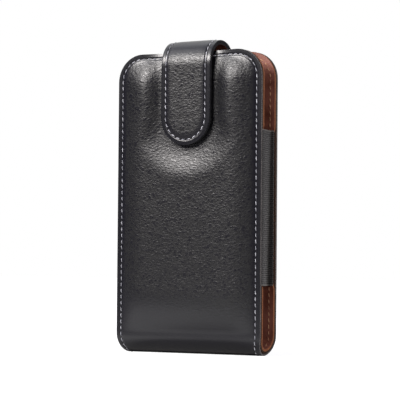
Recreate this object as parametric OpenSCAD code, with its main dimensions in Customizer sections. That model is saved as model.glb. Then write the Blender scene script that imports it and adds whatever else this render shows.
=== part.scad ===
/* [Pouch] */
// Width of the pouch across its cut edges
body_w = 90; // [80:1:110]
// Height of the pouch from the bottom fold to the top edge
body_h = 165; // [150:1:190]
// Depth of the pouch over both panels at the seam
body_d = 19; // [17:0.5:26]
// Radius of the two top corners
corner_r = 15; // [10:1:22]
// How far each edge draws in where the leather folds under
fold_inset = 2.5; // [1:0.5:4]
// Thickness of the black outer leather
leather_t = 1.3; // [1:0.1:1.8]
// Thickness of the stiff sheet between the leathers
core_t = 1.1; // [1.1:0.1:1.6]
// Thickness of the tan lining leather
lining_t = 1.1; // [0.8:0.1:1.6]
// Distance from a cut edge to its row of stitches
seam_margin = 2.8; // [2:0.1:4]
// How far the padded front swells ahead of its seam
puff = 2.8; // [1:0.1:5]
// Width of the slope from the seam up to the full swell
puff_slope = 15; // [10:1:20]
// Share of the swell that the strap presses flat
strap_dent = 0.7; // [0.3:0.05:0.8]

/* [Elastic sides] */
// Height of the lower end of the elastic above the fold
elastic_low = 37.5; // [25:0.5:50]
// Height of the upper end of the elastic above the fold
elastic_high = 121.5; // [100:0.5:135]
// Thickness of the elastic
elastic_t = 1; // [0.8:0.1:1.3]
// How far inside the cut edge the elastic folds at its upper end
tuck_high = 2.4; // [2:0.1:4]
// How far inside the cut edge the elastic folds at its lower end
tuck_low = 4.2; // [2:0.1:6]

/* [Strap] */
// Width of the closing strap
strap_w = 30.6; // [24:0.2:36]
// How far the strap reaches down the front from the top edge
strap_drop = 51.3; // [40:0.1:65]
// How far the strap reaches down the back from the top edge
strap_root = 68; // [65:1:80]
// How far the strap arches above the top edge
arch_rise = 6.6; // [6:0.1:8]
// Height of the arch's front bend
front_bend = 14.6; // [13:0.2:15.4]
// Height of the arch's rear bend
rear_bend = 8.2; // [7.8:0.2:9]
// Thickness of the strap's black leather
strap_leather_t = 1.3; // [1:0.1:1.6]
// Thickness of the strap's tan lining
strap_lining_t = 1.1; // [0.8:0.1:1.4]
// Radius of the magnet in the strap's end
magnet_r = 6.5; // [5:0.5:9]
// Thickness of the magnet
magnet_t = 1; // [0.6:0.1:1.4]

/* [Swivel] */
// How far the swivel sits below the pouch's top edge
swivel_drop = 50; // [46:1:56]
// Radius of the detent base
base_r = 13; // [12:0.5:14.5]
// Thickness of the detent base
base_t = 2.6; // [2.2:0.1:4]
// Number of click positions in a full turn
clicks = 12; // [12:12:24]
// Radius of the rivet that the clip turns on
rivet_r = 2.5; // [2:0.1:3]
// Radius of the rivet's outer head
rivet_head_r = 5.2; // [4.5:0.1:5.4]
// Radial running clearance on the rivet and the hinge pin
running_gap = 0.06; // [0.03:0.01:0.1]

/* [Belt clip] */
// Width of the clip
clip_w = 30; // [29:0.5:36]
// Thickness of the clip's plate
plate_t = 3.6; // [3.4:0.1:5]
// Thickness of the clip's lever
lever_t = 3; // [2.6:0.1:4]
// Room for the belt between plate and lever
belt_gap = 5; // [4.6:0.1:7]
// Widest belt that the clip takes
belt_w = 42; // [38:1:46]
// Radius of the hinge pin
pin_r = 1.25; // [1:0.05:1.4]
// Height of the thumb tab above the hinge pin
tab_h = 13.5; // [11:0.5:15]
// Radius of the spring wire
wire_r = 0.45; // [0.35:0.05:0.5]
// Full turns of the spring
spring_turns = 9; // [6:1:10]

/* [Hidden] */
$fn = 64;

// The origin is the middle of the belt slot, on the swivel's axis: +X to the wearer's side, +Y to the belt.
slip = 0.02;
swivel_gap = 0.2;
contact_gap = 0.3;
strap_t = strap_leather_t + strap_lining_t;
panel_t = leather_t + core_t + lining_t;
plate_back = -belt_gap / 2;
plate_front = plate_back - plate_t;
base_front = plate_front - swivel_gap - base_t;
rear = base_front - strap_t;
front = rear - body_d;
top = swivel_drop;
floor_z = top - body_h;
fold_r = body_d / 2;
fold_z = floor_z + fold_r;
fold_y = front + fold_r;
corner_z = top - corner_r;
waist_h = 12;
waist_r = (waist_h * waist_h + fold_inset * fold_inset) / (2 * fold_inset);
skin_z = max(fold_z, floor_z + waist_h);

// The padded front's grid.
across_steps = 30;
rise_steps = 26;
corner_steps = 8;

// The strap's stations, and the line where it bends open.
strap_inner = front - puff * (1 - strap_dent) - contact_gap;
strap_outer = strap_inner - strap_t;
strap_back = rear + contact_gap + strap_t;
arch_top = top + arch_rise;
front_arch_z = arch_top - front_bend;
rear_arch_z = arch_top - rear_bend;
arch_y = (front + rear) / 2;
front_reach = arch_y - strap_outer;
rear_reach = strap_back - arch_y;
hinge_z = rear_arch_z;
hinge_y = strap_back;

// How far the strap pulls in the panels' top edges, and over what width and height.
front_share = clamp01((top - front_arch_z) / (front_bend - strap_t));
rear_share = clamp01((top - rear_arch_z) / (rear_bend - strap_t));
front_pull = max(0, arch_y - (front_reach - strap_t) * sqrt(1 - front_share * front_share) + contact_gap - front);
rear_pull = max(0, rear - arch_y - (rear_reach - strap_t) * sqrt(1 - rear_share * rear_share) + contact_gap);
pull_w = min(strap_w / 2 + 14, body_w / 2 - corner_r);
pull_h = 14;
tip_z = top - strap_drop;
tip_r = strap_w / 2;
magnet_z = tip_z + tip_r;
keeper_r = magnet_r + 1;
keeper_t = 0.6;

// The swivel's parts.
backing_r = 11;
backing_t = 0.5;
flange_r = 6;
prong_ring = 9;
prong_r = 0.8;
click_ring = 10.8;
click_r = 1.2;
seat_depth = 1.9;
seat_r = rivet_head_r + 1.2;
rivet_head_t = 1;
spring_washer_t = 0.4;

// The clip's hinge.
knuckle_r = 3.2;
ear_r = 3.4;
pin_y = plate_back + knuckle_r + 0.3;
hook_z = -belt_w / 2;
pin_z = belt_w / 2 + ear_r + 0.2;
ear_in = clip_w / 2 - 4.5;
hook_t = 3.4;
clip_bottom = hook_z - hook_t;
plate_top = pin_z + 7.5;
lever_front = plate_back + belt_gap;
lever_back = lever_front + lever_t;
lever_top = pin_z + tab_h;
coil_r = pin_r + wire_r + 0.3;
coil_pitch = 2 * wire_r + 0.12;
coil_len = spring_turns * coil_pitch;
wire_sides = 6;
turn_steps = 14;

// Extrudes a sketch drawn in X and Z along Y, from y0 to y1.
module along_y(y0, y1) {
    translate([0, y1, 0]) rotate([90, 0, 0]) linear_extrude(y1 - y0) children();
}

// Extrudes a sketch drawn in Y and Z along X, from x0 to x1.
module along_x(x0, x1) {
    translate([x0, 0, 0]) rotate([90, 0, 90]) linear_extrude(x1 - x0) children();
}

// A cylinder along Y about the swivel's axis.
module turned(r, y0, y1) {
    translate([0, y1, 0]) rotate([90, 0, 0]) cylinder(r = r, h = y1 - y0);
}

// A cylinder along X about the hinge pin.
module barrel(r, x0, x1) {
    translate([x0, pin_y, pin_z]) rotate([0, 90, 0]) cylinder(r = r, h = x1 - x0);
}

// Places its children at each prong of the detent base.
module at_prongs() {
    for (a = [45 : 90 : 315]) rotate([0, a, 0]) translate([prong_ring, 0, 0]) children();
}

// Holes for the rivet and the prongs, from y0 to y1.
module swivel_holes(y0, y1) {
    turned(rivet_r + slip, y0, y1);
    at_prongs() turned(prong_r + slip, y0, y1);
}

// Outline of the pouch in X and Z: round top corners, edges drawn in at the fold, run on below it.
module outline() {
    half = body_w / 2;
    below = floor_z - 2;
    intersection() {
        union() {
            translate([-half, floor_z + waist_h]) square([body_w, body_h - waist_h - corner_r]);
            translate([-half + corner_r, below]) square([body_w - 2 * corner_r, body_h + 2]);
            for (s = [-1, 1]) {
                translate([s * (half - corner_r), corner_z]) circle(corner_r);
                translate([s * (half - waist_r), floor_z + waist_h]) circle(waist_r);
            }
        }
        translate([-body_w, below]) square([2 * body_w, body_h + 2]);
    }
}

// Side profile of the pouch in Y and Z, drawn in by an inset: two walls on a round fold.
module profile(inset) {
    translate([fold_y, fold_z]) circle(fold_r - inset);
    translate([front + inset, fold_z]) square([body_d - 2 * inset, body_h]);
}

// A solid between two grids of points, each in rows from the bottom up.
module grid_solid(face, back, rows, cols) {
    n = len(face);
    w = cols + 1;
    function quad(a, b, c, d) = [[a, b, c], [a, c, d]];
    polyhedron(points = concat(face, back), faces = [
        for (i = [0 : rows - 1], j = [0 : cols - 1]) let (a = i * w + j)
            each quad(a, a + w, a + w + 1, a + 1),
        for (i = [0 : rows - 1], j = [0 : cols - 1]) let (a = n + i * w + j)
            each quad(a, a + 1, a + w + 1, a + w),
        for (i = [0 : rows - 1]) let (a = i * w)
            each quad(a, n + a, n + a + w, a + w),
        for (i = [0 : rows - 1]) let (a = i * w + cols)
            each quad(a, a + w, n + a + w, n + a),
        for (j = [0 : cols - 1]) each quad(j, j + 1, n + j + 1, n + j),
        for (j = [0 : cols - 1]) let (a = rows * w + j)
            each quad(a, n + a, n + a + 1, a + 1)
    ]);
}

// The part of a wall that the strap pulls in at the top, between two depths.
module pulled_wall(y0, y1, pull) {
    rows = 7;
    cols = 16;
    grid = [for (i = [0 : rows], j = [0 : cols])
        let (x = pull_w * (2 * j / cols - 1), z = top - pull_h * (1 - i / rows))
        [x, pull * pulled(x, z), z]];
    grid_solid([for (p = grid) [p[0], y0 + p[1], p[2]]], [for (p = grid) [p[0], y1 + p[1], p[2]]], rows, cols);
}

// A sheet that runs down the front, under the fold and up the back.
module folded_sheet(inset, t) {
    difference() {
        intersection() {
            along_x(-body_w / 2, body_w / 2) difference() {
                profile(inset);
                profile(inset + t);
            }
            along_y(front - 1, rear + 1) outline();
        }
        translate([-pull_w, front - 1, top - pull_h]) cube([2 * pull_w, body_d + 2, 2 * pull_h]);
    }
    pulled_wall(rear - inset - t, rear - inset, -rear_pull);
}

// Room that the elastic takes along the front panel's inner layers.
module elastic_room() {
    for (s = [-1, 1])
        translate([s * (body_w / 2 - elastic_t / 2), (front + fold_y) / 2, floor_z + (elastic_low + elastic_high) / 2])
            cube([elastic_t + slip, fold_r, elastic_high - elastic_low + slip], center = true);
}

// Half width of the outline at height z.
function half_width(z) = z < corner_z
    ? body_w / 2
    : body_w / 2 - corner_r + sqrt(max(0, corner_r * corner_r - (z - corner_z) * (z - corner_z)));
function clamp01(t) = max(0, min(1, t));
function swell(t) = sin(90 * clamp01(t));
function soft(t) = let (c = clamp01(t)) c * c * (3 - 2 * c);

// How far the padded front stands ahead of its seam at a place.
function pressed(x, z) = soft((strap_w / 2 + 7 - abs(x)) / 5) * soft((z - tip_z + 8) / 6);
function hump(x, z, margin) = puff
    * swell((half_width(z) - abs(x) - margin) / puff_slope)
    * swell((top - z - margin) / puff_slope)
    * swell((z - skin_z) / puff_slope)
    * (1 - strap_dent * pressed(x, z));
function pulled(x, z) = soft((pull_w - abs(x)) / 13) * pow(clamp01(1 - (top - z) / pull_h), 2);

// Heights of the front's rows: even up the sides, then by angle round the corners.
function row_z(i) = i <= rise_steps
    ? skin_z + (corner_z - skin_z) * i / rise_steps
    : corner_z + corner_r * sin(90 * (i - rise_steps) / corner_steps);

// A padded sheet: its front face swells, and its back face follows at a thickness or stays flat.
module padded_sheet(inset, y_edge, t, margin, flat_back) {
    rows = rise_steps + corner_steps;
    cols = across_steps;
    share = 1 - inset / (body_w / 2);
    low = skin_z + inset;
    lift = (top - inset - low) / (top - skin_z);
    zs = [for (i = [0 : rows]) low + (row_z(i) - skin_z) * lift];
    grid = [for (i = [0 : rows], j = [0 : cols])
        let (z = zs[i], x = half_width(row_z(i)) * share * (2 * j / cols - 1))
        [x, hump(x, z, margin), z, front_pull * pulled(x, z)]];
    face = [for (p = grid) [p[0], y_edge - p[1] + p[3], p[2]]];
    back = [for (p = grid) [p[0], y_edge + t + p[3] - (flat_back ? 0 : p[1]), p[2]]];
    grid_solid(face, back, rows, cols);
}

// Black leather: padded front, round bottom fold and flat back in one piece.
module outer_shell() {
    color("#26262a") {
        padded_sheet(0, front, leather_t, seam_margin + 0.6, false);
        difference() {
            folded_sheet(0, leather_t);
            translate([-body_w, front - 1, skin_z]) cube([2 * body_w, fold_r, body_h]);
            swivel_holes(rear - leather_t - 1, rear + 1);
        }
    }
}

// Stiff sheet between the leathers, cut out round the rivet's flange.
module core_sheet() {
    color("#4a3a30") difference() {
        union() {
            folded_sheet(leather_t, core_t);
            pulled_wall(front + leather_t, front + leather_t + core_t, front_pull);
        }
        elastic_room();
        turned(backing_r + slip, rear - leather_t - core_t - 0.5, rear - leather_t + 0.5);
    }
}

// Tan lining leather inside the pouch.
module lining_shell() {
    color("#8a4a26") difference() {
        union() {
            folded_sheet(leather_t + core_t, lining_t);
            pulled_wall(front + leather_t + core_t, front + panel_t, front_pull);
        }
        elastic_room();
    }
}

// Foam that swells the front, flat against the core sheet.
module front_pad() {
    pad_inset = seam_margin + 3;
    color("#d8d2c4") difference() {
        padded_sheet(pad_inset, front + leather_t - 0.02, 0.02, seam_margin + 0.6, true);
        translate([0, 0, magnet_z]) turned(keeper_r + slip, front - puff, front + leather_t + 1);
    }
}

// Steel disc under the front leather that the magnet grips.
module keeper_disc() {
    color("silver") translate([0, 0, magnet_z])
        turned(keeper_r, front + leather_t - keeper_t, front + leather_t);
}

// A four-sided bar up the elastic, between its lower and upper corners in X and Y.
module elastic_bar(low, high) {
    polyhedron(points = concat(
        [for (p = low) [p[0], p[1], floor_z + elastic_low]],
        [for (p = high) [p[0], p[1], floor_z + elastic_high]]), faces = [
        [0, 1, 2], [0, 2, 3], [4, 6, 5], [4, 7, 6],
        for (i = [0 : 3]) let (j = (i + 1) % 4) each [[i, i + 4, j + 4], [i, j + 4, j]]
    ]);
}

// Elastic at the right side: sewn behind the front leather's edge, folded in, and flat on the back lining.
module elastic_side() {
    edge = body_w / 2;
    lip_y = front + panel_t + 0.5;
    flap_back = rear - panel_t;
    flap_front = flap_back - elastic_t;
    function web(tuck) = [
        [edge, lip_y], [edge - tuck + 0.4, flap_front], [edge - tuck - 0.9, flap_back], [edge - elastic_t, lip_y + 0.2]];
    function flap(tuck) = [
        [edge - tuck + 0.4, flap_front], [edge, flap_front], [edge, flap_back], [edge - tuck - 0.9, flap_back]];
    leg = [[edge, front + leather_t], [edge, lip_y], [edge - elastic_t, lip_y + 0.2], [edge - elastic_t, front + leather_t]];
    elastic_bar(leg, leg);
    elastic_bar(web(tuck_low), web(tuck_high));
    elastic_bar(flap(tuck_low), flap(tuck_high));
}

module elastic_right() {
    color("#3a3a3c") elastic_side();
}

module elastic_left() {
    color("#3a3a3c") mirror([1, 0, 0]) elastic_side();
}

// Quarter of an ellipse in Y and Z, from the arch's middle towards side s.
module quarter(reach, h, z, s) {
    intersection() {
        translate([arch_y, z]) scale([1, h / reach]) circle(reach);
        translate([s < 0 ? arch_y - reach : arch_y, z]) square([reach, h]);
    }
}

// Arch of the strap in Y and Z at a depth below its black face.
module arch(depth) {
    quarter(front_reach - depth, front_bend - depth, front_arch_z, -1);
    quarter(rear_reach - depth, rear_bend - depth, rear_arch_z, 1);
}

// One layer of the moving strap in Y and Z, between two depths below its black face.
module strap_layer(d0, d1) {
    difference() {
        arch(d0);
        arch(d1);
    }
    translate([strap_outer + d0, tip_z]) square([d1 - d0, front_arch_z - tip_z]);
}

// Front view of the strap in X and Z, with its round end.
module strap_outline() {
    translate([-strap_w / 2, magnet_z]) square([strap_w, arch_top + 1 - magnet_z]);
    translate([0, magnet_z]) circle(tip_r);
}

module moving_layer(d0, d1) {
    intersection() {
        along_x(-strap_w / 2, strap_w / 2) strap_layer(d0, d1);
        along_y(strap_outer - 1, strap_back + 1) strap_outline();
    }
}

module magnet_shape(grow) {
    middle = strap_outer + strap_leather_t;
    translate([0, 0, magnet_z])
        turned(magnet_r + grow, middle - magnet_t / 2 - grow / 2, middle + magnet_t / 2 + grow / 2);
}

module strap_leather() {
    color("#26262a") difference() {
        moving_layer(0, strap_leather_t);
        magnet_shape(slip);
    }
}

module strap_lining() {
    color("#7a4022") difference() {
        moving_layer(strap_leather_t, strap_t);
        magnet_shape(slip);
    }
}

module strap_magnet() {
    color("silver") magnet_shape(0);
}

// The strap's sewn end on the back, ending just below the bend.
module root_layer(y0, y1) {
    root_z = top - strap_root;
    root_top = hinge_z - contact_gap;
    difference() {
        along_y(y0, y1) {
            translate([-strap_w / 2, root_z + tip_r]) square([strap_w, root_top - root_z - tip_r]);
            translate([0, root_z + tip_r]) circle(tip_r);
        }
        swivel_holes(y0 - 1, y1 + 1);
    }
}

module strap_root_leather() {
    color("#26262a") root_layer(rear + strap_lining_t, rear + strap_t);
}

module strap_root_lining() {
    color("#7a4022") root_layer(rear, rear + strap_lining_t);
}

// Steel plate inside the back panel that the prongs and the rivet's flange bear on.
module backing_plate() {
    y1 = rear - leather_t;
    color("silver") difference() {
        turned(backing_r, y1 - backing_t, y1);
        swivel_holes(y1 - backing_t - 1, y1 + 1);
    }
}

// Plastic disc with click pockets, held to the back by four prongs.
module swivel_base() {
    y0 = base_front;
    y1 = base_front + base_t;
    color("#18181a") {
        difference() {
            turned(base_r, y0, y1);
            turned(rivet_r + slip, y0 - 1, y1 + 1);
            for (i = [0 : clicks - 1])
                rotate([0, 360 * i / clicks, 0]) translate([click_ring, y1 + click_r / 2, 0]) sphere(click_r, $fn = 32);
        }
        at_prongs() turned(prong_r, rear - leather_t - backing_t, y0 + 0.5);
    }
}

// Steel rivet: flange inside the back panel, shank through the clip, head in the clip's seat.
module swivel_rivet() {
    flange_y = rear - leather_t - backing_t;
    head_y = plate_back - seat_depth + 2 * spring_washer_t;
    color("silver") {
        turned(flange_r, flange_y - (core_t - backing_t), flange_y);
        turned(rivet_r, flange_y - 0.1, head_y + 0.1);
        turned(rivet_head_r, head_y, head_y + rivet_head_t);
    }
}

// Conical spring washer that presses the clip on to its clicks.
module disc_spring() {
    y0 = plate_back - seat_depth;
    inner = rivet_r + 0.2;
    outer = rivet_head_r;
    color("silver") translate([0, y0, 0]) rotate([-90, 0, 0]) rotate_extrude()
        polygon([[inner, spring_washer_t], [inner, 2 * spring_washer_t], [outer, spring_washer_t], [outer, 0]]);
}

// Front view of the clip in X and Z, with round corners of radius r.
module clip_outline(z0, z1, w, r) {
    for (x = [-w / 2 + r, w / 2 - r], z = [z0 + r, z1 - r]) translate([x, z]) circle(r);
    translate([-w / 2 + r, z0]) square([w - 2 * r, z1 - z0]);
    translate([-w / 2, z0 + r]) square([w, z1 - z0 - 2 * r]);
}

// Clip plate: turns on the rivet, lies along the belt and carries the hinge ears.
module clip_plate() {
    leg_x = coil_len / 2;
    color("#18181a") difference() {
        union() {
            along_y(plate_front, plate_back) clip_outline(clip_bottom, plate_top, clip_w, 5);
            for (s = [-1, 1]) {
                x0 = s > 0 ? ear_in : -clip_w / 2;
                barrel(ear_r, x0, x0 + 4.5);
                translate([x0, plate_back - 0.5, pin_z - ear_r]) cube([4.5, pin_y - plate_back + 0.5, 2 * ear_r]);
            }
            for (a = [0 : 90 : 270])
                rotate([0, a, 0]) translate([click_ring, plate_front + click_r / 3, 0]) sphere(click_r * 0.8, $fn = 32);
            // Seat for the fixed leg of the spring.
            translate([-leg_x - 1.5, plate_back - 0.5, pin_z + 3.8])
                cube([3, pin_y - coil_r - wire_r - plate_back + 0.5 - slip, 3]);
        }
        turned(rivet_r + running_gap, plate_front - 1, plate_back + 1);
        turned(seat_r, plate_back - seat_depth, plate_back + 1);
        barrel(pin_r + slip, -clip_w, clip_w);
        // Shallow frame that thins the plate below the swivel.
        along_y(plate_back - 0.6, plate_back + 1) clip_outline(clip_bottom + 4.5, -seat_r - 1.5, clip_w - 9, 2);
    }
}

// Lever: hooks under the belt, hinges on the pin, opens by its ridged thumb tab.
module clip_lever() {
    notch = ear_r + 0.8;
    color("#18181a") difference() {
        union() {
            intersection() {
                along_x(-clip_w / 2, clip_w / 2) lever_profile();
                along_y(plate_back, lever_back + 5) clip_outline(clip_bottom, lever_top, clip_w - 2, 6);
            }
            for (s = [-1, 1]) {
                x1 = s > 0 ? ear_in - 0.2 : -ear_in + 3.7;
                barrel(knuckle_r, x1 - 3.5, x1);
                translate([x1 - 3.5, pin_y, pin_z - knuckle_r]) cube([3.5, lever_front - pin_y + 0.5, 2 * knuckle_r]);
            }
        }
        barrel(pin_r + running_gap, -clip_w, clip_w);
        barrel(coil_r + wire_r + 0.3, -coil_len / 2 - 0.8, coil_len / 2 + 0.8);
        for (x = [ear_in - 0.2, -clip_w])
            translate([x, pin_y - notch, pin_z - notch]) cube([clip_w - ear_in + 0.2, 3 * notch, 2 * notch]);
        // Groove for the moving leg of the spring.
        translate([coil_len / 2 - 0.7, pin_y, pin_z]) cube([1.4, coil_r + wire_r + slip, 10]);
        // Shallow panel in the outer face.
        along_y(lever_back - 0.5, lever_back + 1) clip_outline(clip_bottom + 5, pin_z - 9, clip_w - 10, 3);
    }
}

// Side view of the lever in Y and Z: arm, hook and a tab that leans away from the pouch.
module lever_profile() {
    translate([lever_front, clip_bottom]) square([lever_t, pin_z + 5 - clip_bottom]);
    translate([lever_front, pin_z + 3]) rotate(-8) square([lever_t, tab_h]);
    translate([plate_back + 0.3 + hook_t / 2, hook_z - hook_t / 2]) circle(hook_t / 2);
    translate([plate_back + 0.3 + hook_t / 2, clip_bottom]) square([belt_gap, hook_t]);
    for (i = [0 : 3])
        translate([lever_back + 0.55 + 0.3 * i, pin_z + 4.2 + 2.1 * i]) circle(0.6);
}

module clip_pin() {
    color("silver") barrel(pin_r, -clip_w / 2, clip_w / 2);
}

// Centreline of the spring: fixed leg, coil about the pin, moving leg.
leg_len = 6.5;
half_turn = 180;
wire_path = concat(
    [[-coil_len / 2, pin_y - coil_r, pin_z + leg_len]],
    [for (i = [0 : round(turn_steps * (spring_turns - 0.5))])
        let (a = half_turn + 360 * i / turn_steps, k = i / (turn_steps * (spring_turns - 0.5)))
        [coil_len * (k - 0.5), pin_y + coil_r * cos(a), pin_z + coil_r * sin(a)]],
    [[coil_len / 2, pin_y + coil_r, pin_z + leg_len]]);

// Torsion spring that holds the jaw shut.
module clip_spring() {
    n = len(wire_path);
    rings = [for (i = [0 : n - 1])
        let (ahead = wire_path[min(i + 1, n - 1)] - wire_path[max(i - 1, 0)],
             t = ahead / norm(ahead),
             side = cross(t, [1, 0, 0]),
             u = side / norm(side),
             v = cross(u, t))
        for (k = [0 : wire_sides - 1])
            let (a = 360 * k / wire_sides)
            wire_path[i] + wire_r * (cos(a) * u + sin(a) * v)];
    color("silver") polyhedron(points = rings, faces = [
        [for (k = [0 : wire_sides - 1]) k],
        [for (k = [wire_sides - 1 : -1 : 0]) (n - 1) * wire_sides + k],
        for (i = [0 : n - 2], k = [0 : wire_sides - 1])
            let (a = i * wire_sides + k, b = i * wire_sides + (k + 1) % wire_sides)
            each [[a, a + wire_sides, b + wire_sides], [a, b + wire_sides, b]]
    ]);
}

outer_shell();
core_sheet();
lining_shell();
front_pad();
keeper_disc();
elastic_right();
elastic_left();
strap_leather();
strap_lining();
strap_magnet();
strap_root_leather();
strap_root_lining();
backing_plate();
swivel_base();
swivel_rivet();
disc_spring();
clip_plate();
clip_lever();
clip_pin();
clip_spring();
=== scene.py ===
import math
from functools import partial

import bpy
import numpy as np
from mathutils import Matrix, Vector


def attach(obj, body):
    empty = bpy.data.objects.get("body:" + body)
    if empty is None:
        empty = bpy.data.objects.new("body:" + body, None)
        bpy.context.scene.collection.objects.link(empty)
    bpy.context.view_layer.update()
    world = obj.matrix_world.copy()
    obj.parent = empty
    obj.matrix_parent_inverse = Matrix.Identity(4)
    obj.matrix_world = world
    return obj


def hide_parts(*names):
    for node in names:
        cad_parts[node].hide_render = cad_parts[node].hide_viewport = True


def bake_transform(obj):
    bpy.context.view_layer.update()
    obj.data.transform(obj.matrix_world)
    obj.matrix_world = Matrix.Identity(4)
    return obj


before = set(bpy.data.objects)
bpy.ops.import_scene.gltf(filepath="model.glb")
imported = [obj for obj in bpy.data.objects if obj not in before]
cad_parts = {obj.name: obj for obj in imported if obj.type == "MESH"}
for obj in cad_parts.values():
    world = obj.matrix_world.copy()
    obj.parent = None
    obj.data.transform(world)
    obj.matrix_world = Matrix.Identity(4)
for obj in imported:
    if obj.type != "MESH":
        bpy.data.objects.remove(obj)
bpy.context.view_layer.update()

mm = 0.001

# Sizes in millimetres, as in the part's source, with z from the middle of the belt slot. Only the puff
# is 0.6 mm fuller than the source's, as leather stands off its foam. The dent is a share of the puff
# that leaves the strap where the source has it.
pouch = {
    "width": 90.0, "height": 165.0, "depth": 19.0, "top": 50.0, "front": -30.3,
    "cornerRadius": 15.0, "waistHeight": 12.0, "foldInset": 2.5,
    "leather": 1.3, "core": 1.1, "lining": 1.1, "seamMargin": 2.8,
    "puff": 3.4, "puffMargin": 0.6, "puffSlope": 15.0, "foldSlope": 22.0,
    "strapDent": 0.753, "dentStart": 0.6, "dentSlope": 12.0, "dentWiden": 0.55,
    "pullBeyond": 14.0, "pullSlope": 13.0, "pullHeight": 14.0,
}
strap = {
    "width": 30.6, "drop": 51.3, "root": 68.0, "rise": 6.6, "frontBend": 14.6, "rearBend": 8.2,
    "leather": 1.3, "lining": 1.1, "gap": 0.3, "crown": 0.35,
}
top = pouch["top"]
front = pouch["front"]
rear = front + pouch["depth"]
bottom = top - pouch["height"]
foldRadius = pouch["depth"] / 2
foldY = front + foldRadius
foldZ = bottom + foldRadius
half = pouch["width"] / 2
cornerZ = top - pouch["cornerRadius"]
waistRadius = (pouch["waistHeight"] ** 2 + pouch["foldInset"] ** 2) / (2 * pouch["foldInset"])
skinZ = bottom + pouch["waistHeight"]
strapThick = strap["leather"] + strap["lining"]
strapOuter = front - pouch["puff"] * (1 - pouch["strapDent"]) - strap["gap"] - strapThick
strapBack = rear + strap["gap"] + strapThick
archTop = top + strap["rise"]
archY = (front + rear) / 2
frontReach = archY - strapOuter
rearReach = strapBack - archY
frontArchZ = archTop - strap["frontBend"]
rearArchZ = archTop - strap["rearBend"]
hingeZ = rearArchZ
tipZ = top - strap["drop"]
rootZ = top - strap["root"]
tipRadius = strap["width"] / 2
frontShare = (top - frontArchZ) / (strap["frontBend"] - strapThick)
rearShare = (top - rearArchZ) / (strap["rearBend"] - strapThick)
frontPull = archY - (frontReach - strapThick) * math.sqrt(1 - frontShare ** 2) + strap["gap"] - front
rearPull = rear - archY - (rearReach - strapThick) * math.sqrt(1 - rearShare ** 2) + strap["gap"]
pullWidth = min(tipRadius + pouch["pullBeyond"], half - pouch["cornerRadius"])


def softStep(t):
    t = np.clip(t, 0, 1)
    return t * t * (3 - 2 * t)


def swell(t):
    # A quarter wave: steep at the seam and level where the pad is full.
    return np.sin(np.clip(t, 0, 1) * math.pi / 2)


def halfWidth(z):
    # Half the pouch's width at a height: round upper corners, and drawn in towards the bottom fold.
    z = np.asarray(z, float)
    r = pouch["cornerRadius"]
    w = np.full(z.shape, half)
    up = np.clip(z - cornerZ, 0, r)
    w = np.where(z > cornerZ, half - r + np.sqrt(np.maximum(r * r - up * up, 0)), w)
    down = np.clip(skinZ - z, 0, waistRadius)
    return np.where(z < skinZ, half - waistRadius + np.sqrt(waistRadius ** 2 - down ** 2), w)


def edgeDistance(x, z):
    # How far a point of a wall lies inside the pouch's cut edge.
    r = pouch["cornerRadius"]
    side = halfWidth(np.minimum(z, cornerZ)) - np.abs(x)
    over = top - z
    inCorner = (np.abs(x) > half - r) & (z > cornerZ)
    corner = r - np.hypot(np.abs(x) - (half - r), z - cornerZ)
    return np.where(inCorner, corner, np.minimum(side, over))


def pulled(x, z):
    # How far the strap pulls a wall's top edge in, as a share of the most.
    down = np.clip(1 - (top - z) / pouch["pullHeight"], 0, 1)
    return softStep((pullWidth - np.abs(x)) / pouch["pullSlope"]) * down ** 2


def strapShade(x, z, start, width):
    # 1 under the strap, falling softly to 0 round its outline, and wider below its tip.
    middle = tipZ + tipRadius
    away = np.where(z > middle, np.abs(x), np.hypot(x, z - middle)) - tipRadius
    wider = 1 + pouch["dentWiden"] * softStep((middle - z) / tipRadius)
    return 1 - softStep((away - start) / (width * wider))


def hump(x, z):
    # How far the padded front stands out, less the dent that the strap presses into it.
    margin = pouch["seamMargin"] + pouch["puffMargin"]
    slope = pouch["puffSlope"]
    pressed = strapShade(x, z, pouch["dentStart"], pouch["dentSlope"])
    return (pouch["puff"] * swell((halfWidth(np.maximum(z, skinZ)) - np.abs(x) - margin) / slope)
            * swell((top - z - margin) / slope) * swell((z - skinZ) / pouch["foldSlope"])
            * (1 - pouch["strapDent"] * pressed))


def clearSelection():
    if bpy.context.object and bpy.context.object.mode != "OBJECT":
        bpy.ops.object.mode_set(mode="OBJECT")
    bpy.ops.object.select_all(action="DESELECT")


def choose(piece):
    clearSelection()
    piece.select_set(True)
    bpy.context.view_layer.objects.active = piece


def applyModifier(piece, kind, settings):
    choose(piece)
    made = piece.modifiers.new(kind.title(), kind)
    for key, value in settings.items():
        setattr(made, key, value)
    bpy.ops.object.modifier_apply(modifier=made.name)


def roundEdges(piece, size, angle, segments=2):
    applyModifier(piece, "BEVEL", {"width": size * mm, "segments": segments, "limit_method": "ANGLE",
                                   "angle_limit": math.radians(angle)})


def makeLeather(piece, thickness, size, face, edge):
    # Gives a sheet its thickness inwards, with the cut edge in a material of its own.
    piece.data.materials.append(face)
    piece.data.materials.append(edge)
    applyModifier(piece, "SOLIDIFY", {"thickness": thickness * mm, "offset": -1.0, "use_even_offset": True,
                                      "use_rim": True, "material_offset_rim": 1})
    roundEdges(piece, size, 50)


def editAll(piece):
    choose(piece)
    bpy.ops.object.mode_set(mode="EDIT")
    bpy.ops.mesh.select_all(action="SELECT")


def readPoints(piece):
    flat = np.empty(len(piece.data.vertices) * 3)
    piece.data.vertices.foreach_get("co", flat)
    return flat.reshape(-1, 3)


def writePoints(piece, points):
    piece.data.vertices.foreach_set("co", np.asarray(points, float).ravel())
    piece.data.update()


def setAttribute(piece, name, values):
    made = piece.data.attributes.new(name, "FLOAT", "POINT")
    made.data.foreach_set("value", np.asarray(values, np.float32))


def smooth(piece, angle=40):
    choose(piece)
    bpy.ops.object.shade_smooth_by_angle(angle=math.radians(angle))


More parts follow.
